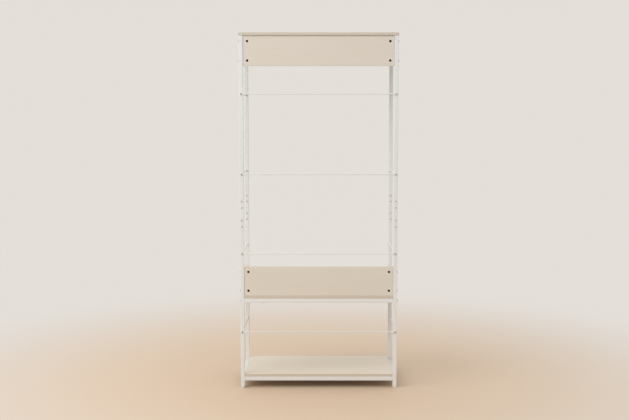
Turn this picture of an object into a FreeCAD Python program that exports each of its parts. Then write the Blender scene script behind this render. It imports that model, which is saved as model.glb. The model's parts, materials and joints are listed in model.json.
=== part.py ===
import FreeCAD, Part
import os

Vector = FreeCAD.Vector

# Millimetres. Z is up from the floor, -Y is the rack's rear and +Y its open front.
# Every size from here to the end of the fits can be set by itself.

# Outline of the rack
RACK_WIDTH = 800.0
RACK_DEPTH = 400.0
RACK_HEIGHT = 1800.0
TOP_SHELF_OVERHANG = 2.0

# Square tube of the posts and rails
TUBE_SIDE = 20.0
TUBE_WALL = 1.2
TUBE_INNER_CORNER = 0.8
POST_JOINT_CHAMFER = 0.4

# Levels
BOTTOM_RAIL_BASE = 37.0
MID_RAIL_BASE = 440.0
HANGING_RAIL_DROP = 75.0
ROD_PITCH = 402.0

# Shelves and back boards
SHELF_THICKNESS = 15.0
SHELF_SETBACK = 1.0
BOARD_THICKNESS = 15.0
BOARD_HEIGHT = 148.0
UPPER_BOARD_GAP = 2.0
LOWER_BOARD_GAP = 0.5
BOARD_EDGE_ROUNDING = 0.8

# Round bars
HANGING_RAIL_DIAMETER = 25.0
HANGING_RAIL_WALL = 1.2
RUNG_DIAMETER = 8.0
ROD_DIAMETER = 5.0
ROD_TAB_THICKNESS = 2.5
ROD_TAB_WIDTH = 11.0
ROD_TAB_REACH = 14.0
ROD_TAPER = 8.0

# Bolts with a round socket head: shanks, and the head's sizes for each millimetre of shank
FRAME_BOLT_SHANK = 6.0
ROD_BOLT_SHANK = 5.0
SPLICE_BOLT_SHANK = 4.0
HEAD_DIAMETER_RATIO = 1.85
HEAD_HEIGHT_RATIO = 0.55
HEAD_ROUNDING_RATIO = 0.36
SOCKET_WIDTH_RATIO = 0.64
SOCKET_DEPTH_RATIO = 0.32
TIP_CHAMFER_RATIO = 0.12
BOLT_TIP_REACH = 0.5

# Wood screws under the shelves
SCREW_DIAMETER = 4.0
SCREW_POINT = 4.0
SCREW_HEAD_DIAMETER = 8.0
SCREW_HEAD_HEIGHT = 2.6
SCREW_HEAD_ROUNDING = 1.6
SCREW_SLOT_LENGTH = 4.4
SCREW_SLOT_WIDTH = 1.0
SCREW_SLOT_DEPTH = 1.5
SCREW_BITE = 10.0
SCREW_INSET_X = 98.0
SCREW_INSET_Y = 58.0

# Barrel nuts in the back boards
BARREL_DIAMETER = 12.0
BARREL_RECESS = 1.5
BARREL_TO_EDGE = 26.0
BARREL_TO_END = 21.0
BARREL_SLOT_WIDTH = 1.4
BARREL_SLOT_DEPTH = 1.2
BOLT_PAST_BARREL = 8.5

# Inserts in the tubes
SPLICE_WALL = 3.0
SPLICE_BOLT_PITCH = 32.0
SPLICE_END_MARGIN = 21.0
RAIL_PLUG_LENGTH = 15.0
WELD_NUT_SIDE = 9.0
WELD_NUT_HEIGHT = 4.0

# Levelling feet
PAD_DIAMETER = 19.0
PAD_HEIGHT = 6.0
PAD_ROUNDING = 1.2
PAD_SOCKET_DEPTH = 4.0
STUD_DIAMETER = 8.0
STUD_LENGTH = 30.0
STUD_CHAMFER = 0.8
FOOT_PLUG_FLANGE = 2.7
FOOT_PLUG_LENGTH = 22.0

# Fits
HOLE_CLEARANCE = 0.3
THREAD_CLEARANCE = 0.075
INSERT_CLEARANCE = 0.15
SHELF_END_GAP = 0.5
BOARD_END_GAP = 0.5
PAD_TO_PLUG = 0.3
HOLE_END_GAP = 0.3

# Places that follow from the sizes above
UP = Vector(0, 0, 1)
FORWARD = Vector(0, 1, 0)
RIGHT = Vector(1, 0, 0)
SIDES = {"left": -1, "right": 1}
FACES = {"rear": -1, "front": 1}
CORNERS = [(side, face) for side in SIDES.values() for face in FACES.values()]
TUBE_HALF = TUBE_SIDE / 2
TUBE_CORNER = TUBE_INNER_CORNER + TUBE_WALL
TUBE_BORE = TUBE_SIDE - 2 * TUBE_WALL
INSERT_SIDE = TUBE_BORE - 2 * INSERT_CLEARANCE
POST_OUTER_X = RACK_WIDTH / 2 - TOP_SHELF_OVERHANG
POST_OUTER_Y = RACK_DEPTH / 2 - TOP_SHELF_OVERHANG
POST_X = POST_OUTER_X - TUBE_HALF
POST_Y = POST_OUTER_Y - TUBE_HALF
SPAN_X = 2 * (POST_X - TUBE_HALF)
SPAN_Y = 2 * (POST_Y - TUBE_HALF)
POST_BASE = PAD_HEIGHT + PAD_TO_PLUG + FOOT_PLUG_FLANGE
POST_TOP = RACK_HEIGHT - SHELF_THICKNESS
SPLICE_HEIGHT = POST_TOP / 2
POST_ENDS = {"lower": POST_BASE, "upper": POST_TOP}
RAIL_HEIGHTS = {
    "bottom": BOTTOM_RAIL_BASE + TUBE_HALF,
    "mid": MID_RAIL_BASE + TUBE_HALF,
    "hanging": POST_TOP - HANGING_RAIL_DROP,
    "top": POST_TOP - TUBE_HALF,
}
CROSS_RAILS = {"rear": ("bottom", "mid"), "front": ("bottom", "mid", "top")}
SHELF_LEVELS = ("bottom", "mid", "top")
SHELF_BASES = {level: RAIL_HEIGHTS[level] + TUBE_HALF for level in SHELF_LEVELS}
BOARD_BASES = {
    "lower": SHELF_BASES["mid"] + SHELF_THICKNESS + LOWER_BOARD_GAP,
    "upper": POST_TOP - UPPER_BOARD_GAP - BOARD_HEIGHT,
}
BARREL_LENGTH = BOARD_THICKNESS - 2 * BARREL_RECESS
BARREL_X = SPAN_X / 2 - BOARD_END_GAP - BARREL_TO_END
BOARD_FIXINGS = (BARREL_TO_EDGE, BOARD_HEIGHT - BARREL_TO_EDGE)
BOARD_BOLT_HEIGHTS = [base + fixing for base in BOARD_BASES.values() for fixing in BOARD_FIXINGS]
BOARD_BOLT_LENGTH = TUBE_SIDE + BOARD_END_GAP + BARREL_TO_END + BOLT_PAST_BARREL
ROD_HEIGHTS = [SPLICE_HEIGHT + step * ROD_PITCH for step in (-1.5, -0.5, 0.5, 1.5)]
SPLICE_BOLT_HEIGHTS = [SPLICE_HEIGHT + step * SPLICE_BOLT_PITCH for step in (-2, -1, 1, 2)]
SPLICE_REACH = 2 * SPLICE_BOLT_PITCH + SPLICE_END_MARGIN
SCREW_LENGTH = TUBE_SIDE + SCREW_BITE
FRAME_BOLT_HOLE = FRAME_BOLT_SHANK / 2 + HOLE_CLEARANCE
FRAME_BOLT_THREAD = FRAME_BOLT_SHANK / 2 + THREAD_CLEARANCE
STUD_THREAD = STUD_DIAMETER / 2 + THREAD_CLEARANCE


def save(node, *solids):
    """Write one solid, or a group of alike ones, as a node's file."""
    shape = solids[0] if len(solids) == 1 else Part.makeCompound(list(solids))
    shape.exportStep(os.path.join("parts", node + ".step"))


def placed(shape, start, direction=UP):
    """Lay a shape that was built from the origin along Z, so that it starts at a point and runs one way."""
    shape.Placement = FreeCAD.Placement(start, FreeCAD.Rotation(UP, direction))
    return shape


def centred_box(size_x, size_y, size_z):
    """A box that stands on the origin."""
    return Part.makeBox(size_x, size_y, size_z, Vector(-size_x / 2, -size_y / 2, 0))


def rim(cylinder, height):
    """The round edge of a cylinder at one of its ends."""
    rings = [edge for edge in cylinder.Edges if isinstance(edge.Curve, Part.Circle)]
    return min(rings, key=lambda ring: abs(ring.Curve.Center.z - height))


def square_bar(side, corner, length):
    """A square bar along Z with rounded long edges."""
    bar = centred_box(side, side, length)
    upright = [edge for edge in bar.Edges if edge.BoundBox.ZLength > edge.BoundBox.DiagonalLength / 2]
    return bar.makeFillet(corner, upright)


def square_tube(length):
    """A length of the rack's square tube along Z."""
    bore = square_bar(TUBE_BORE, TUBE_INNER_CORNER, length)
    return square_bar(TUBE_SIDE, TUBE_CORNER, length).cut(bore)


def tube_insert(length):
    """A bar along Z that slides into the rack's square tube."""
    return square_bar(INSERT_SIDE, TUBE_INNER_CORNER, length)


def hex_prism(width, base, height):
    """A six-sided bar along Z, by its width over flats."""
    corner = Vector(width / 3**0.5, 0, base)
    corners = [FreeCAD.Rotation(UP, 60 * turn).multVec(corner) for turn in range(7)]
    return Part.Face(Part.makePolygon(corners)).extrude(Vector(0, 0, height))


def round_head(diameter, height, rounding):
    """A domed head that hangs under the origin."""
    head = Part.makeCylinder(diameter / 2, height, Vector(0, 0, -height))
    return head.makeFillet(rounding, [rim(head, -height)])


def bolt(shank_diameter, length, seat, direction):
    """A socket-headed bolt, its head's underside on the seat and its shank along the direction."""
    shank = Part.makeCylinder(shank_diameter / 2, length)
    shank = shank.makeChamfer(TIP_CHAMFER_RATIO * shank_diameter, [rim(shank, length)])
    height = HEAD_HEIGHT_RATIO * shank_diameter
    head = round_head(HEAD_DIAMETER_RATIO * shank_diameter, height, HEAD_ROUNDING_RATIO * shank_diameter)
    socket = hex_prism(SOCKET_WIDTH_RATIO * shank_diameter, -height, SOCKET_DEPTH_RATIO * shank_diameter)
    return placed(head.fuse(shank).cut(socket), seat, direction)


def wood_screw(seat):
    """A screw with a cross slot, driven upwards through a tube into a shelf."""
    point_start = SCREW_LENGTH - SCREW_POINT
    shank = Part.makeCylinder(SCREW_DIAMETER / 2, point_start)
    point = Part.makeCone(SCREW_DIAMETER / 2, 0, SCREW_POINT, Vector(0, 0, point_start))
    head = round_head(SCREW_HEAD_DIAMETER, SCREW_HEAD_HEIGHT, SCREW_HEAD_ROUNDING)
    one_way = centred_box(SCREW_SLOT_LENGTH, SCREW_SLOT_WIDTH, SCREW_SLOT_DEPTH)
    other_way = centred_box(SCREW_SLOT_WIDTH, SCREW_SLOT_LENGTH, SCREW_SLOT_DEPTH)
    slot = placed(one_way.fuse(other_way), Vector(0, 0, -SCREW_HEAD_HEIGHT))
    return placed(head.fuse([shank, point]).cut(slot), seat)


def side_hole(side, y, height):
    """A frame bolt's hole across a tube at one side of the rack."""
    start = Vector(side * POST_X - TUBE_SIDE, y, height)
    return Part.makeCylinder(FRAME_BOLT_HOLE, 2 * TUBE_SIDE, start, RIGHT)


def rearward_hole(shank_diameter, clearance, side, face, height):
    """A bolt's hole through the rearward wall of what stands at one corner of the rack."""
    start = Vector(side * POST_X, face * POST_Y - TUBE_SIDE, height)
    return Part.makeCylinder(shank_diameter / 2 + clearance, TUBE_SIDE, start, FORWARD)


def side_bolt_heights(face_name):
    """Where bolts cross a post from its outer face."""
    rails = [RAIL_HEIGHTS[level] for level in CROSS_RAILS[face_name]]
    return rails + BOARD_BOLT_HEIGHTS if face_name == "rear" else rails


def half_post_tube(length):
    """A half post along Z, its outer edge taken off at the end that meets the other half, at the origin."""
    bar = square_bar(TUBE_SIDE, TUBE_CORNER, length)
    joint_end = min(bar.Faces, key=lambda face: face.CenterOfMass.z)
    bar = bar.makeChamfer(POST_JOINT_CHAMFER, joint_end.Edges)
    return bar.cut(square_bar(TUBE_BORE, TUBE_INNER_CORNER, length))


def half_post(side_name, face_name, half):
    """One half of a corner post, with the holes of the pieces that are fixed to it."""
    side, face = SIDES[side_name], FACES[face_name]
    base, top = sorted((SPLICE_HEIGHT, POST_ENDS[half]))
    holes = [side_hole(side, face * POST_Y, z) for z in side_bolt_heights(face_name) if base < z < top]
    for z in SPLICE_BOLT_HEIGHTS:
        if base < z < top:
            holes.append(rearward_hole(SPLICE_BOLT_SHANK, HOLE_CLEARANCE, side, face, z))
    for z in ROD_HEIGHTS:
        if face_name == "rear" and base < z < top:
            holes.append(rearward_hole(ROD_BOLT_SHANK, HOLE_CLEARANCE, side, face, z))
    joint = Vector(side * POST_X, face * POST_Y, SPLICE_HEIGHT)
    post = placed(half_post_tube(top - base), joint, Vector(0, 0, POST_ENDS[half] - SPLICE_HEIGHT))
    return post.cut(holes)


def splice_insert(side, face):
    """The thick tube inside a post that holds its two halves in line."""
    bore_side = INSERT_SIDE - 2 * SPLICE_WALL
    length = 2 * SPLICE_REACH
    insert = tube_insert(length).cut(centred_box(bore_side, bore_side, length))
    insert = placed(insert, Vector(side * POST_X, face * POST_Y, SPLICE_HEIGHT - SPLICE_REACH))
    threads = [rearward_hole(SPLICE_BOLT_SHANK, THREAD_CLEARANCE, side, face, z) for z in SPLICE_BOLT_HEIGHTS]
    return insert.cut(threads)


def splice_bolt(side, face, height):
    """A short bolt through a post's rearward wall into its splice insert."""
    length = TUBE_WALL + INSERT_CLEARANCE + SPLICE_WALL + BOLT_TIP_REACH
    seat = Vector(side * POST_X, face * POST_Y - TUBE_HALF, height)
    return bolt(SPLICE_BOLT_SHANK, length, seat, FORWARD)


def screw_places(level):
    """The X and Y of a shelf's screws: in the side rails at the top, and in the cross rails below."""
    if level == "top":
        return [(side * POST_X, face * (SPAN_Y / 2 - SCREW_INSET_Y)) for side, face in CORNERS]
    return [(side * (SPAN_X / 2 - SCREW_INSET_X), face * POST_Y) for side, face in CORNERS]


def screw_seats(level):
    """Where the heads of a shelf's screws sit, under its rails."""
    return [Vector(x, y, RAIL_HEIGHTS[level] - TUBE_HALF) for x, y in screw_places(level)]


def screw_holes(level, clearance):
    """The holes of a shelf's screws, from under the rails to their ends in the shelf."""
    radius = SCREW_DIAMETER / 2 + clearance
    return [Part.makeCylinder(radius, SCREW_LENGTH + HOLE_END_GAP, seat) for seat in screw_seats(level)]


def cross_rail(face_name, level):
    """A rail between the left and right posts."""
    start = Vector(-SPAN_X / 2, FACES[face_name] * POST_Y, RAIL_HEIGHTS[level])
    return placed(square_tube(SPAN_X), start, RIGHT).cut(screw_holes(level, HOLE_CLEARANCE))


def side_rail(side_name, level):
    """A rail between a rear and a front post, with the holes for what it carries."""
    side, height = SIDES[side_name], RAIL_HEIGHTS[level]
    rail = placed(square_tube(SPAN_Y), Vector(side * POST_X, -SPAN_Y / 2, height), FORWARD)
    if level == "hanging":
        return rail.cut(side_hole(side, 0, height))
    return rail.cut(screw_holes(level, HOLE_CLEARANCE))


def rung(side_name, height):
    """A thin round bar between a rear and a front post."""
    start = Vector(SIDES[side_name] * POST_X, -SPAN_Y / 2, height)
    return Part.makeCylinder(RUNG_DIAMETER / 2, SPAN_Y, start, FORWARD)


def threaded_plug(body, side, y, level):
    """A plug in a rail's end: a body along Z with a frame bolt's thread down its middle."""
    thread = Part.makeCylinder(FRAME_BOLT_THREAD, RAIL_PLUG_LENGTH)
    return placed(body.cut(thread), Vector(side * SPAN_X / 2, y, RAIL_HEIGHTS[level]), Vector(-side, 0, 0))


def rail_bolt(side, y, level):
    """A bolt through a tube at the rack's side into a rail's plug."""
    seat = Vector(side * POST_OUTER_X, y, RAIL_HEIGHTS[level])
    return bolt(FRAME_BOLT_SHANK, TUBE_SIDE + RAIL_PLUG_LENGTH, seat, Vector(-side, 0, 0))


def hanging_rail():
    """The round tube that the hangers hang on."""
    radius = HANGING_RAIL_DIAMETER / 2
    tube = Part.makeCylinder(radius, SPAN_X).cut(Part.makeCylinder(radius - HANGING_RAIL_WALL, SPAN_X))
    return placed(tube, Vector(-SPAN_X / 2, 0, RAIL_HEIGHTS["hanging"]), RIGHT)


def hanging_rail_plug(side):
    """The round plug in one end of the hanging rail."""
    radius = HANGING_RAIL_DIAMETER / 2 - HANGING_RAIL_WALL - INSERT_CLEARANCE
    return threaded_plug(Part.makeCylinder(radius, RAIL_PLUG_LENGTH), side, 0, "hanging")


def flat_board(size_x, size_y, size_z, base):
    """A board with slightly rounded edges, its underside's centre on a point."""
    board = centred_box(size_x, size_y, size_z)
    return placed(board.makeFillet(BOARD_EDGE_ROUNDING, board.Edges), base)


def shelf(level):
    """A shelf with its screws' blind holes: the top one covers the posts, the others lie between them."""
    width, depth = RACK_WIDTH, RACK_DEPTH
    if level != "top":
        width = SPAN_X - 2 * SHELF_END_GAP
        depth = 2 * (POST_OUTER_Y - SHELF_SETBACK)
    board = flat_board(width, depth, SHELF_THICKNESS, Vector(0, 0, SHELF_BASES[level]))
    return board.cut(screw_holes(level, THREAD_CLEARANCE))


def back_board(name):
    """A board between the rear posts, where nuts' holes from the rear meet bolts' holes from the ends."""
    base = BOARD_BASES[name]
    board = flat_board(SPAN_X - 2 * BOARD_END_GAP, BOARD_THICKNESS, BOARD_HEIGHT, Vector(0, -POST_Y, base))
    nut_hole_radius = BARREL_DIAMETER / 2 + HOLE_CLEARANCE
    nut_hole_depth = BARREL_RECESS + BARREL_LENGTH + HOLE_END_GAP
    bolt_hole_depth = BOARD_BOLT_LENGTH + HOLE_END_GAP
    holes = []
    for fixing in BOARD_FIXINGS:
        for side in SIDES.values():
            mouth = Vector(side * BARREL_X, -POST_Y - BOARD_THICKNESS / 2, base + fixing)
            holes.append(Part.makeCylinder(nut_hole_radius, nut_hole_depth, mouth, FORWARD))
            entry = Vector(side * POST_OUTER_X, -POST_Y, base + fixing)
            holes.append(Part.makeCylinder(FRAME_BOLT_HOLE, bolt_hole_depth, entry, Vector(-side, 0, 0)))
    return board.cut(holes)


def board_bolt(side, height):
    """A bolt through a rear post and a back board's end into its barrel nut."""
    seat = Vector(side * POST_OUTER_X, -POST_Y, height)
    return bolt(FRAME_BOLT_SHANK, BOARD_BOLT_LENGTH, seat, Vector(-side, 0, 0))


def barrel_nut(side, height):
    """A slotted round nut across a back board's thickness, threaded across its middle."""
    nut = Part.makeCylinder(BARREL_DIAMETER / 2, BARREL_LENGTH)
    slot = centred_box(BARREL_DIAMETER, BARREL_SLOT_WIDTH, BARREL_SLOT_DEPTH)
    thread_start = Vector(-BARREL_DIAMETER, 0, BARREL_LENGTH / 2)
    thread = Part.makeCylinder(FRAME_BOLT_THREAD, 2 * BARREL_DIAMETER, thread_start, RIGHT)
    start = Vector(side * BARREL_X, -POST_Y - BARREL_LENGTH / 2, height)
    return placed(nut.cut([slot, thread]), start, FORWARD)


def rod_end():
    """One end of a back rod that runs along Z: a taper to a flat tab with a hole in its round tip."""
    tab_start = POST_X - ROD_TAB_REACH
    taper_start = tab_start - ROD_TAPER
    half_width, half_thickness = ROD_TAB_WIDTH / 2, ROD_TAB_THICKNESS / 2
    round_section = Part.Circle(Vector(0, 0, taper_start), UP, ROD_DIAMETER / 2)
    wide_point, thin_point = Vector(half_width, 0, tab_start), Vector(0, half_thickness, tab_start)
    flat_section = Part.Ellipse(wide_point, thin_point, Vector(0, 0, tab_start))
    taper = Part.makeLoft([Part.Wire(round_section.toShape()), Part.Wire(flat_section.toShape())], True)
    tab = placed(centred_box(ROD_TAB_WIDTH, ROD_TAB_THICKNESS, ROD_TAB_REACH), Vector(0, 0, tab_start))
    tip_start = Vector(0, -half_thickness, POST_X)
    tip = Part.makeCylinder(half_width, ROD_TAB_THICKNESS, tip_start, FORWARD)
    hole_radius = ROD_BOLT_SHANK / 2 + HOLE_CLEARANCE
    hole = Part.makeCylinder(hole_radius, ROD_TAB_THICKNESS, tip_start, FORWARD)
    return tab.fuse([taper, tip]).cut(hole)


def back_rod(height):
    """A thin rod across the rear, with a flat tab on each rear post."""
    half_length = POST_X - ROD_TAB_REACH - ROD_TAPER
    rod = Part.makeCylinder(ROD_DIAMETER / 2, 2 * half_length, Vector(0, 0, -half_length))
    end = rod_end()
    rod = rod.fuse([end, end.mirror(Vector(0, 0, 0), UP)]).removeSplitter()
    return placed(rod, Vector(0, -POST_OUTER_Y - ROD_TAB_THICKNESS / 2, height), RIGHT)


def rod_bolt(side, height):
    """A short bolt through a rod's tab and a rear post's wall into a weld nut."""
    length = ROD_TAB_THICKNESS + TUBE_WALL + WELD_NUT_HEIGHT + BOLT_TIP_REACH
    seat = Vector(side * POST_X, -POST_OUTER_Y - ROD_TAB_THICKNESS, height)
    return bolt(ROD_BOLT_SHANK, length, seat, FORWARD)


def weld_nut(side, height):
    """A square nut on the inside of a rear post's rear wall."""
    nut = centred_box(WELD_NUT_SIDE, WELD_NUT_SIDE, WELD_NUT_HEIGHT)
    thread = Part.makeCylinder(ROD_BOLT_SHANK / 2 + THREAD_CLEARANCE, WELD_NUT_HEIGHT)
    return placed(nut.cut(thread), Vector(side * POST_X, -POST_OUTER_Y + TUBE_WALL, height), FORWARD)


def foot_plug(side, face):
    """The threaded plug in a post's lower end, with a flange that the post stands on."""
    height = FOOT_PLUG_FLANGE + FOOT_PLUG_LENGTH
    plug = square_bar(TUBE_SIDE, TUBE_CORNER, FOOT_PLUG_FLANGE).fuse(tube_insert(height))
    thread = Part.makeCylinder(STUD_THREAD, height)
    return placed(plug.cut(thread), Vector(side * POST_X, face * POST_Y, POST_BASE - FOOT_PLUG_FLANGE))


def foot_pad(side, face):
    """The round pad of a levelling foot."""
    pad = Part.makeCylinder(PAD_DIAMETER / 2, PAD_HEIGHT)
    pad = pad.makeFillet(PAD_ROUNDING, [rim(pad, 0), rim(pad, PAD_HEIGHT)])
    socket = Part.makeCylinder(STUD_THREAD, PAD_SOCKET_DEPTH, Vector(0, 0, PAD_HEIGHT - PAD_SOCKET_DEPTH))
    return placed(pad.cut(socket), Vector(side * POST_X, face * POST_Y, 0))


def foot_stud(side, face):
    """The threaded stud that stands in a levelling foot's pad."""
    stud = Part.makeCylinder(STUD_DIAMETER / 2, STUD_LENGTH)
    stud = stud.makeChamfer(STUD_CHAMFER, [rim(stud, STUD_LENGTH)])
    return placed(stud, Vector(side * POST_X, face * POST_Y, PAD_HEIGHT - PAD_SOCKET_DEPTH))


os.makedirs("parts", exist_ok=True)

for side_name, side in SIDES.items():
    for face_name, face in FACES.items():
        corner = f"{face_name}_{side_name}"
        for half in POST_ENDS:
            save(f"{corner}_{half}_post", half_post(side_name, face_name, half))
        save(f"{corner}_foot_pad", foot_pad(side, face))
        save(f"{corner}_foot_stud", foot_stud(side, face))
    for level in RAIL_HEIGHTS:
        save(f"{side_name}_{level}_side_rail", side_rail(side_name, level))
    for number, height in enumerate(ROD_HEIGHTS, 1):
        save(f"{side_name}_rung_{number}", rung(side_name, height))

for face_name, levels in CROSS_RAILS.items():
    for level in levels:
        save(f"{face_name}_{level}_rail", cross_rail(face_name, level))

for level in SHELF_LEVELS:
    save(f"{level}_shelf", shelf(level))

for name in BOARD_BASES:
    save(f"{name}_back_board", back_board(name))

for number, height in enumerate(ROD_HEIGHTS, 1):
    save(f"back_rod_{number}", back_rod(height))

save("hanging_rail", hanging_rail())
save("hanging_rail_plugs", *[hanging_rail_plug(side) for side in SIDES.values()])
save("foot_plugs", *[foot_plug(side, face) for side, face in CORNERS])
save("splice_inserts", *[splice_insert(side, face) for side, face in CORNERS])
save("splice_bolts", *[splice_bolt(side, face, z) for side, face in CORNERS for z in SPLICE_BOLT_HEIGHTS])
save("board_bolts", *[board_bolt(side, z) for side in SIDES.values() for z in BOARD_BOLT_HEIGHTS])
save("barrel_nuts", *[barrel_nut(side, z) for side in SIDES.values() for z in BOARD_BOLT_HEIGHTS])
save("rod_bolts", *[rod_bolt(side, z) for side in SIDES.values() for z in ROD_HEIGHTS])
save("weld_nuts", *[weld_nut(side, z) for side in SIDES.values() for z in ROD_HEIGHTS])
save("shelf_screws", *[wood_screw(seat) for level in SHELF_LEVELS for seat in screw_seats(level)])

rail_plugs = []
rail_bolts = [rail_bolt(side, 0, "hanging") for side in SIDES.values()]
for side in SIDES.values():
    for face_name, levels in CROSS_RAILS.items():
        for level in levels:
            y = FACES[face_name] * POST_Y
            rail_plugs.append(threaded_plug(tube_insert(RAIL_PLUG_LENGTH), side, y, level))
            rail_bolts.append(rail_bolt(side, y, level))
save("rail_plugs", *rail_plugs)
save("rail_bolts", *rail_bolts)
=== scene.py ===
import json
import math

import bpy
from mathutils import Matrix, Vector


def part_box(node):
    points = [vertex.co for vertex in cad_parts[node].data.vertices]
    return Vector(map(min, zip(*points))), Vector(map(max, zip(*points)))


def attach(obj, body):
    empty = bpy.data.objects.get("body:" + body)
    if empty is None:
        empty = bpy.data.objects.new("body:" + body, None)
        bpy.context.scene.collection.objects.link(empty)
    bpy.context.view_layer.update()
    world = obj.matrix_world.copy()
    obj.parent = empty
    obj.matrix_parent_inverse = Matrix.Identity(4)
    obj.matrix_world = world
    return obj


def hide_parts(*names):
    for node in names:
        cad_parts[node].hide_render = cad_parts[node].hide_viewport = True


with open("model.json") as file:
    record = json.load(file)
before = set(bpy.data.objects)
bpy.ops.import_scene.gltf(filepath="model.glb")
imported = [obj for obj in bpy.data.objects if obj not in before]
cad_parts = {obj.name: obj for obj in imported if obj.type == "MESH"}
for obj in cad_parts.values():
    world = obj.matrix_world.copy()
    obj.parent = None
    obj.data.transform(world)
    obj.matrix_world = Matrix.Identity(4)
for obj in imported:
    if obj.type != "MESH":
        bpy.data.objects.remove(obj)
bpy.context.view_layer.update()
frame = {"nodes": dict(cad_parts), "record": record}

# Metres, in the rack's own frame: Z up, -Y its rear, +Y its open front.
# Colours of sky, floor and backdrop are light values of red, green and blue, with full cover.

# Camera: its place before the rear posts, its lens, and where the rack lies in the picture, in pixels
CAMERA_DISTANCE = 5.20
CAMERA_HEIGHT = 1.409
AIM_HEIGHT = 0.954
LENS_MM = 59.3
SENSOR_MM = 36.0
IMAGE_WIDTH = 629
RACK_CENTRE_COLUMN = 318.7
RAISED_PIXELS = 8.0

# Light: an even sky and one wide lamp
SKY_STRENGTH = 0.95
SKY_COLOUR = (0.97, 0.99, 1.0, 1.0)
KEY_PLACE = Vector((-4.2, -2.8, 3.7))
KEY_AIM = Vector((0.0, 0.0, 0.8))
KEY_SIZE = 4.0
KEY_WATTS = 150.0

# Studio: the floor as it looks and as it throws light back, and the backdrop that it fades into
FLOOR_SIZE = 60.0
FLOOR_ROUGHNESS = 0.6
FADE_REACH = (0.6, 2.8)
FLOOR_COLOUR = (0.66, 0.495, 0.35, 1.0)
NEAR_BOUNCE_COLOUR = (0.52, 0.37, 0.24, 1.0)
FAR_BOUNCE_COLOUR = (0.44, 0.46, 0.48, 1.0)
BACKDROP_COLOUR = (0.775, 0.738, 0.694, 1.0)

# Patterns: the range that noise mostly stays in, and the whole range of a pattern
NOISE_RANGE = (0.3, 0.7)
FULL_RANGE = (0.0, 1.0)

# Weld beads along the side rails' ends; the waist between two ripples is a share of the radius
BEAD_LENGTH = 0.0155
BEAD_RADIUS = 0.0026
BEAD_SIDES = 32
BEAD_STEPS = 24
BEAD_WAIST = 0.90
BEAD_END_POWER = 6

# Weld rings round the rungs' ends; the swell is a share of the leg, the dips are shares of the crest
RUNGS_A_SIDE = 4
RING_LEG = 0.0020
RING_SWELL = 0.30
RING_STEPS = 40
RING_DIP_ACROSS = 0.965
RING_DIP_ALONG = 0.93

# Thread of the feet's studs; the flat crest is a share of the pitch
THREAD_PITCH = 0.00125
THREAD_DEPTH = 0.00072
THREAD_CREST = 0.2
THREAD_STEPS = 32
THREAD_SPARE_TURNS = 2
STUD_TIP = 0.0008

# Mesh work
FULL_TURN = 2 * math.pi
QUARTER_TURN = FULL_TURN / 4
SAME_POINT = 1e-6
CUT_TOLERANCE = 1e-7
WELD_SMOOTH_ANGLE = math.radians(50)
THREAD_SMOOTH_ANGLE = math.radians(30)


def linear(red, green, blue):
    """A colour given in picture values from 0 to 255, as light values."""
    values = [channel / 255 for channel in (red, green, blue)]
    light = [v / 12.92 if v <= 0.04045 else ((v + 0.055) / 1.055) ** 2.4 for v in values]
    return (*light, 1.0)


def worked_out(nodes, links, operation, *values):
    """What a Math node gives for one or two values."""
    node = nodes.new("ShaderNodeMath")
    node.operation = operation
    for value, socket in zip(values, node.inputs):
        links.new(value, socket)
    return node.outputs["Value"]


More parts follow.
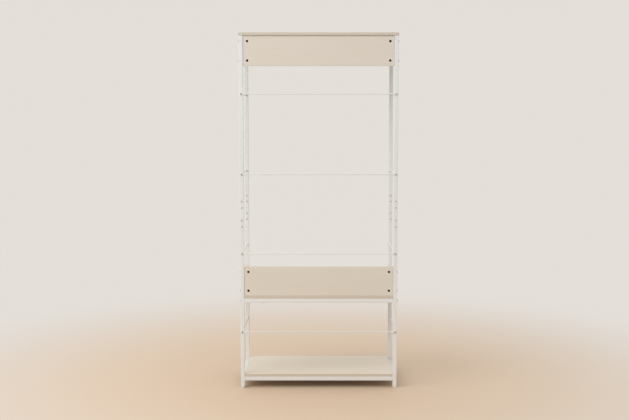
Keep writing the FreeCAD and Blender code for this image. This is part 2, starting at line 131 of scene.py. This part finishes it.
class Finish:
    """A material with its shader and object coordinates at hand, to which patterns are added."""

    def __init__(self, name):
        self.material = bpy.data.materials.new(name)
        self.material.use_nodes = True
        self.nodes = self.material.node_tree.nodes
        self.links = self.material.node_tree.links
        self.shader = self.nodes["Principled BSDF"]
        coordinates = self.nodes.new("ShaderNodeTexCoord")
        self.place = coordinates.outputs["Object"]
        self.normal = coordinates.outputs["Normal"]

    def constant(self, socket, value):
        """A value that is the same all over the surface."""
        self.shader.inputs[socket].default_value = value

    def noise(self, size, stretch=(1.0, 1.0, 1.0), detail=2.0):
        """Noise whose spots are about a size across, drawn out along an axis by its stretch."""
        mapping = self.nodes.new("ShaderNodeMapping")
        mapping.inputs["Scale"].default_value = [1 / (size * s) for s in stretch]
        self.links.new(self.place, mapping.inputs["Vector"])
        texture = self.nodes.new("ShaderNodeTexNoise")
        texture.inputs["Scale"].default_value = 1.0
        texture.inputs["Detail"].default_value = detail
        self.links.new(mapping.outputs["Vector"], texture.inputs["Vector"])
        return texture.outputs["Fac"]

    def spread(self, value, source, target, curve="LINEAR"):
        """A value from one range, spread over another."""
        node = self.nodes.new("ShaderNodeMapRange")
        node.interpolation_type = curve
        node.inputs["From Min"].default_value, node.inputs["From Max"].default_value = source
        node.inputs["To Min"].default_value, node.inputs["To Max"].default_value = target
        self.links.new(value, node.inputs["Value"])
        return node.outputs["Result"]

    def spots(self, size, target=FULL_RANGE, **pattern):
        """Noise, spread over a range."""
        return self.spread(self.noise(size, **pattern), NOISE_RANGE, target)

    def facing(self, axis):
        """How squarely the surface looks along an axis, from 0 to 1."""
        parts = self.nodes.new("ShaderNodeSeparateXYZ")
        self.links.new(self.normal, parts.inputs["Vector"])
        return worked_out(self.nodes, self.links, "ABSOLUTE", parts.outputs[axis])

    def mix(self, factor, first, second):
        """Two colours, or a pattern's colour and another, mixed by a pattern."""
        blend = self.nodes.new("ShaderNodeMix")
        blend.data_type = "RGBA"
        self.links.new(factor, blend.inputs["Factor"])
        sockets = [socket for socket in blend.inputs if socket.type == "RGBA"]
        for socket, colour in zip(sockets, (first, second)):
            if isinstance(colour, bpy.types.NodeSocket):
                self.links.new(colour, socket)
            else:
                socket.default_value = colour
        return next(socket for socket in blend.outputs if socket.type == "RGBA")

    def colour(self, value):
        """Give the surface a pattern's colour."""
        self.links.new(value, self.shader.inputs["Base Color"])

    def roughness(self, value):
        """Vary the surface's gloss by a pattern."""
        self.links.new(value, self.shader.inputs["Roughness"])

    def bump(self, height, depth):
        """Raise the surface by a pattern."""
        bump = self.nodes.new("ShaderNodeBump")
        bump.inputs["Distance"].default_value = depth
        self.links.new(height, bump.inputs["Height"])
        self.links.new(bump.outputs["Normal"], self.shader.inputs["Normal"])


def white_powder_coat():
    """Satin white paint baked on steel, with the fine ripple of sprayed powder."""
    coat = Finish("white_powder_coat")
    shade = coat.mix(coat.spots(size=0.25), linear(225, 223, 218), linear(230, 228, 223))
    coat.colour(coat.mix(coat.spots(size=0.0012), shade, linear(227, 225, 220)))
    coat.roughness(coat.spots(size=0.004, target=(0.36, 0.48)))
    coat.bump(coat.noise(size=0.0016, detail=1.0), depth=0.00006)
    return coat.material


def beige_laminate(name, face_axis, pale, deep):
    """Beige board laminate with fine grain along its length, and a darker band of painted shade on its
    narrow edges.
    """
    board = Finish(name)
    board.constant("Specular IOR Level", 0.3)
    cloud = board.spots(size=0.20, stretch=(3.0, 1.0, 1.0))
    fibre = board.spots(size=0.0011, stretch=(60.0, 1.0, 1.0), detail=3.0)
    fibre_tint = board.spread(fibre, FULL_RANGE, (0.0, 0.35))
    face = board.mix(fibre_tint, board.mix(cloud, deep, pale), linear(213, 199, 180))
    # Painted shade: the narrow edges, those not facing along face_axis, get the darker colour on the next
    # line as if they lay in shade.
    painted_edge_shade = board.spread(board.facing(face_axis), (0.4, 0.8), (1.0, 0.0))
    board.colour(board.mix(painted_edge_shade, face, linear(207, 194, 176)))
    board.roughness(board.spread(fibre, FULL_RANGE, (0.6, 0.7)))
    board.bump(fibre, depth=0.00003)
    return board.material


def zinc_plate(name, light, dark):
    """Zinc-plated steel with cloudy plating and a fine grain."""
    zinc = Finish(name)
    zinc.constant("Metallic", 1.0)
    zinc.colour(zinc.mix(zinc.spots(size=0.003), dark, light))
    zinc.roughness(zinc.spots(size=0.0006, target=(0.28, 0.45)))
    zinc.bump(zinc.noise(size=0.0004), depth=0.00001)
    return zinc.material


def black_oxide():
    """Black oxide on the barrel nuts, a little browner where it is thin."""
    black = Finish("black_oxide")
    black.constant("Specular IOR Level", 0.3)
    black.colour(black.mix(black.spots(size=0.002), linear(20, 19, 19), linear(34, 31, 28)))
    black.roughness(black.spots(size=0.0008, target=(0.5, 0.7)))
    black.bump(black.noise(size=0.0005), depth=0.00002)
    return black.material


def white_moulded_plastic():
    """White moulded plastic with a fine grain from its mould."""
    plastic = Finish("white_moulded_plastic")
    plastic.colour(plastic.mix(plastic.spots(size=0.01), linear(229, 226, 220), linear(234, 231, 226)))
    plastic.roughness(plastic.spots(size=0.0009, target=(0.45, 0.6)))
    plastic.bump(plastic.noise(size=0.0007), depth=0.00004)
    return plastic.material


def dress_nodes():
    """Give every piece of the frame the finish of its slot."""
    finishes = {
        "white_steel": white_powder_coat(),
        "bolt_steel": zinc_plate("zinc_bolts", light=linear(204, 200, 193), dark=linear(178, 174, 168)),
        "plain_steel": zinc_plate("bright_zinc", light=linear(200, 200, 198), dark=linear(176, 176, 174)),
        "black_steel": black_oxide(),
        "white_plastic": white_moulded_plastic(),
    }
    shelf_laminate = beige_laminate(
        "shelf_laminate", face_axis="Z", pale=linear(227, 217, 201), deep=linear(223, 212, 195))
    back_laminate = beige_laminate(
        "back_board_laminate", face_axis="Y", pale=linear(225, 214, 199), deep=linear(221, 209, 193))
    for piece in frame["record"]["subparts"]:
        name, slot = piece["node"], piece["material_slot"]
        if slot == "beige_board":
            finish = shelf_laminate if name.endswith("_shelf") else back_laminate
        else:
            finish = finishes[slot]
        node = frame["nodes"][name]
        node.data.materials.clear()
        node.data.materials.append(finish)


def start_piece(name):
    """Name the primitive just added, put its size and place in its mesh, and open it in edit mode."""
    piece = bpy.context.object
    piece.name = name
    bpy.ops.object.transform_apply(location=True, rotation=True, scale=True)
    bpy.ops.object.mode_set(mode="EDIT")
    return piece


def pick(piece, test):
    """Select the vertices of a piece in edit mode whose place passes a test, and no others."""
    bpy.ops.object.mode_set(mode="OBJECT")
    for part in (*piece.data.polygons, *piece.data.edges):
        part.select = False
    for vertex in piece.data.vertices:
        vertex.select = test(vertex.co)
    bpy.ops.object.mode_set(mode="EDIT")
    bpy.ops.mesh.select_mode(type="VERT")


def merge_points():
    """Make one vertex of those that lie in the same place."""
    bpy.ops.mesh.select_all(action="SELECT")
    bpy.ops.mesh.remove_doubles(threshold=SAME_POINT)


def cut(place, normal):
    """Take off what lies behind a plane, and close the cut."""
    bpy.ops.mesh.select_all(action="SELECT")
    bpy.ops.mesh.bisect(
        plane_co=place, plane_no=normal, use_fill=True, clear_inner=True, threshold=CUT_TOLERANCE)


def close_up(smooth_angle):
    """Merge the piece's vertices, turn its faces outward and smooth its soft edges."""
    merge_points()
    bpy.ops.mesh.normals_make_consistent(inside=False)
    bpy.ops.object.mode_set(mode="OBJECT")
    bpy.ops.object.shade_smooth_by_angle(angle=smooth_angle)


def bead_radius(step):
    """A bead's radius at a step along it: rippled, and rounded off at both ends."""
    along = 2 * (step + 0.5) / (BEAD_STEPS + 1) - 1
    ripple = 1.0 if step % 2 else BEAD_WAIST
    return BEAD_RADIUS * ripple * (1 - along ** BEAD_END_POWER) ** 0.5


def weld_bead():
    """A rippled bead along X in a corner that opens to +Y and +Z, with the corner on the X axis."""
    radii = [bead_radius(step) for step in range(BEAD_STEPS + 1)]
    bpy.ops.object.select_all(action="DESELECT")
    bpy.ops.mesh.primitive_circle_add(
        vertices=BEAD_SIDES, radius=radii[0], fill_type="NGON",
        location=(-BEAD_LENGTH / 2, 0, 0), rotation=(0, QUARTER_TURN, 0))
    bead = start_piece("weld_bead")
    forward = (BEAD_LENGTH / BEAD_STEPS, 0, 0)
    for before, after in zip(radii, radii[1:]):
        bpy.ops.mesh.extrude_region_move(TRANSFORM_OT_translate={"value": forward})
        grow = after / before
        bpy.ops.transform.resize(value=(1, grow, grow), center_override=(0, 0, 0))
    cut((0, 0, 0), (0, 1, 0))
    cut((0, 0, 0), (0, 0, 1))
    close_up(WELD_SMOOTH_ANGLE)
    return bead


def weld_ring(rung_radius):
    """A rippled ring of weld round a rung that runs along Y, on a face at the origin that looks to +Y."""
    half_leg = RING_LEG / 2
    crest = rung_radius + half_leg
    bpy.ops.object.select_all(action="DESELECT")
    bpy.ops.mesh.primitive_plane_add(
        size=RING_LEG, location=(0, half_leg, crest), rotation=(0, QUARTER_TURN, 0))
    ring = start_piece("weld_ring")
    bpy.ops.mesh.delete(type="ONLY_FACE")
    pick(ring, lambda co: co.y > half_leg and co.z > crest)
    inward = -RING_SWELL * RING_LEG
    bpy.ops.transform.translate(value=(0, inward, inward))
    bpy.ops.mesh.select_all(action="SELECT")
    bpy.ops.mesh.spin(steps=RING_STEPS, angle=FULL_TURN, center=(0, 0, 0), axis=(0, 1, 0))
    merge_points()

    def in_a_dip(co):
        step = round(math.atan2(co.x, co.z) * RING_STEPS / FULL_TURN)
        return co.y > half_leg and math.hypot(co.x, co.z) > crest and step % 2 == 0

    pick(ring, in_a_dip)
    bpy.ops.transform.resize(
        value=(RING_DIP_ACROSS, RING_DIP_ALONG, RING_DIP_ACROSS), center_override=(0, 0, 0))
    close_up(WELD_SMOOTH_ANGLE)
    return ring


def copies_as_one(pattern, name, places):
    """Copies of a modelled piece at several places, as one piece of the frame in its white coat."""
    bpy.ops.object.select_all(action="DESELECT")
    for place in places:
        copy = pattern.copy()
        copy.data = pattern.data.copy()
        copy.data.transform(place)
        bpy.context.scene.collection.objects.link(copy)
        copy.select_set(True)
        bpy.context.view_layer.objects.active = copy
    bpy.ops.object.join()
    joined = bpy.context.object
    joined.name = name
    joined.data.materials.clear()
    joined.data.materials.append(frame["nodes"]["hanging_rail"].data.materials[0])
    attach(joined, "frame")


def rail_weld_places(side):
    """Places for beads over and under the ends of a side's rails; the top rails have the shelf over them."""
    places = []
    for level in ("bottom", "mid", "hanging", "top"):
        low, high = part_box(f"{side}_{level}_side_rail")
        middle = (low.x + high.x) / 2
        # Each corner's Y and Z, and the quarter turns that bring a bead into it
        corners = [(low.y, low.z, 3), (high.y, low.z, 2)]
        if level != "top":
            corners += [(low.y, high.z, 0), (high.y, high.z, 1)]
        for y, z, quarter_turns in corners:
            turn = Matrix.Rotation(quarter_turns * QUARTER_TURN, 4, "X")
            places.append(Matrix.Translation((middle, y, z)) @ turn)
    return places


def rung_weld_places(side):
    """Places for rings at both ends of a side's rungs."""
    places = []
    for number in range(1, RUNGS_A_SIDE + 1):
        low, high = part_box(f"{side}_rung_{number}")
        middle = (low + high) / 2
        for y, quarter_turns in ((low.y, 0), (high.y, 2)):
            turn = Matrix.Rotation(quarter_turns * QUARTER_TURN, 4, "Z")
            places.append(Matrix.Translation((middle.x, y, middle.z)) @ turn)
    return places


def side_frame_welds():
    """The welds that hold the side rails and the rungs to the posts."""
    low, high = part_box("left_rung_1")
    bead = weld_bead()
    ring = weld_ring((high.z - low.z) / 2)
    for side in ("left", "right"):
        copies_as_one(bead, f"{side}_rail_welds", rail_weld_places(side))
        copies_as_one(ring, f"{side}_rung_welds", rung_weld_places(side))
    for pattern in (bead, ring):
        bpy.data.objects.remove(pattern)


def threaded_stud(radius, base, top):
    """A foot's stud on the Z axis, with its thread wound from one tooth and its tip chamfered."""
    tooth_middle = radius - THREAD_PITCH / 2
    first_turn = base - THREAD_PITCH
    bpy.ops.object.select_all(action="DESELECT")
    bpy.ops.mesh.primitive_plane_add(
        size=THREAD_PITCH, location=(tooth_middle, 0, first_turn), rotation=(QUARTER_TURN, 0, 0))
    stud = start_piece("threaded_stud")
    bpy.ops.mesh.delete(type="ONLY_FACE")
    pick(stud, lambda co: co.x < tooth_middle)
    bpy.ops.transform.translate(value=(THREAD_PITCH - THREAD_DEPTH, 0, 0))
    bpy.ops.mesh.delete(type="EDGE")
    pick(stud, lambda co: co.x > radius - THREAD_DEPTH / 2)
    bpy.ops.transform.resize(value=(1, 1, THREAD_CREST), center_override=(0, 0, first_turn))
    bpy.ops.object.mode_set(mode="OBJECT")
    screw = stud.modifiers.new("thread", "SCREW")
    screw.screw_offset = THREAD_PITCH
    screw.iterations = math.ceil((top - base) / THREAD_PITCH) + THREAD_SPARE_TURNS
    screw.steps = THREAD_STEPS
    screw.render_steps = THREAD_STEPS
    bpy.ops.object.modifier_apply(modifier=screw.name)
    bpy.ops.object.mode_set(mode="EDIT")
    merge_points()
    cut((0, 0, base), (0, 0, 1))
    shoulder = top - STUD_TIP
    cut((0, 0, shoulder), (0, 0, -1))
    pick(stud, lambda co: co.z > shoulder - SAME_POINT)
    bpy.ops.mesh.extrude_region_move(TRANSFORM_OT_translate={"value": (0, 0, STUD_TIP)})
    narrow = 1 - STUD_TIP / radius
    bpy.ops.transform.resize(value=(narrow, narrow, 1), center_override=(0, 0, top))
    close_up(THREAD_SMOOTH_ANGLE)
    return stud


def foot_studs():
    """The four threaded studs, each in place of its plain one and moving with its foot."""
    low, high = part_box("rear_left_foot_stud")
    pattern = threaded_stud((high.x - low.x) / 2, low.z, high.z)
    for corner in ("rear_left", "rear_right", "front_left", "front_right"):
        plain = frame["nodes"][f"{corner}_foot_stud"]
        low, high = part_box(plain.name)
        middle = (low + high) / 2
        stud = pattern.copy()
        stud.data = pattern.data.copy()
        stud.data.transform(Matrix.Translation((middle.x, middle.y, 0)))
        stud.name = f"{corner}_threaded_stud"
        stud.data.materials.append(plain.data.materials[0])
        bpy.context.scene.collection.objects.link(stud)
        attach(stud, f"{corner}_foot")
        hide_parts(f"{corner}_foot_stud")
    bpy.data.objects.remove(pattern)


def seen_rays(nodes, links):
    """1 for rays from the camera and for what shows in metal and glass, 0 for rays that carry light."""
    path = nodes.new("ShaderNodeLightPath")
    seen = path.outputs["Is Camera Ray"]
    for kind in ("Is Glossy Ray", "Is Transmission Ray"):
        seen = worked_out(nodes, links, "MAXIMUM", seen, path.outputs[kind])
    return seen


def choose(nodes, links, factor, first, second, output):
    """Show one shader where the factor is 0 and another where it is 1."""
    choice = nodes.new("ShaderNodeMixShader")
    links.new(factor, choice.inputs["Fac"])
    links.new(first, choice.inputs[1])
    links.new(second, choice.inputs[2])
    links.new(choice.outputs["Shader"], nodes[output].inputs["Surface"])


def studio_sky():
    """Soft light from all round, seen as the pale backdrop."""
    world = bpy.data.worlds.new("studio_sky")
    bpy.context.scene.world = world
    world.use_nodes = True
    nodes, links = world.node_tree.nodes, world.node_tree.links
    light = nodes["Background"]
    light.inputs["Color"].default_value = SKY_COLOUR
    light.inputs["Strength"].default_value = SKY_STRENGTH
    backdrop = nodes.new("ShaderNodeBackground")
    backdrop.inputs["Color"].default_value = BACKDROP_COLOUR
    seen = seen_rays(nodes, links)
    choose(nodes, links, seen, light.outputs["Background"], backdrop.outputs["Background"], "World Output")


def pale_floor_paint():
    """Plain floor paint that fades into the backdrop away from the rack, for rays that are seen."""
    paint = Finish("pale_floor")
    paint.constant("Roughness", FLOOR_ROUGHNESS)
    nodes, links = paint.nodes, paint.links
    reach = nodes.new("ShaderNodeVectorMath")
    reach.operation = "LENGTH"
    links.new(paint.place, reach.inputs[0])
    fade = paint.spread(reach.outputs["Value"], FADE_REACH, FULL_RANGE, curve="SMOOTHSTEP")
    seen = seen_rays(nodes, links)
    bounce = paint.mix(fade, NEAR_BOUNCE_COLOUR, FAR_BOUNCE_COLOUR)
    paint.colour(paint.mix(seen, bounce, FLOOR_COLOUR))
    backdrop = nodes.new("ShaderNodeEmission")
    backdrop.inputs["Color"].default_value = BACKDROP_COLOUR
    seen_fade = worked_out(nodes, links, "MULTIPLY", fade, seen)
    floor = paint.shader.outputs["BSDF"]
    choose(nodes, links, seen_fade, floor, backdrop.outputs["Emission"], "Material Output")
    return paint.material


def studio_floor():
    """A plain pale floor under the feet."""
    bpy.ops.object.select_all(action="DESELECT")
    bpy.ops.mesh.primitive_plane_add(size=FLOOR_SIZE)
    floor = bpy.context.object
    floor.name = "studio_floor"
    floor.data.materials.append(pale_floor_paint())


def aim(thing, target):
    """Turn a lamp or the camera towards a point."""
    thing.rotation_euler = (target - thing.location).to_track_quat("-Z", "Y").to_euler()


def key_light():
    """One wide soft lamp, up on the left."""
    lamp = bpy.data.lights.new("key_light", "AREA")
    lamp.size = KEY_SIZE
    lamp.energy = KEY_WATTS
    holder = bpy.data.objects.new("key_light", lamp)
    holder.location = KEY_PLACE
    bpy.context.scene.collection.objects.link(holder)
    aim(holder, KEY_AIM)


def camera():
    """The photograph's view, square to the rear of the rack."""
    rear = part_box("rear_left_lower_post")[0].y
    lens = bpy.data.cameras.new("camera")
    lens.sensor_width = SENSOR_MM
    lens.lens = LENS_MM
    lens.shift_x = (IMAGE_WIDTH / 2 - RACK_CENTRE_COLUMN) / IMAGE_WIDTH
    lens.shift_y = -RAISED_PIXELS / IMAGE_WIDTH
    holder = bpy.data.objects.new("camera", lens)
    holder.location = (0.0, rear - CAMERA_DISTANCE, CAMERA_HEIGHT)
    bpy.context.scene.collection.objects.link(holder)
    aim(holder, Vector((0.0, rear, AIM_HEIGHT)))
    bpy.context.scene.camera = holder


dress_nodes()
side_frame_welds()
foot_studs()
studio_sky()
studio_floor()
key_light()
camera()
bpy.context.scene.view_settings.view_transform = "Standard"
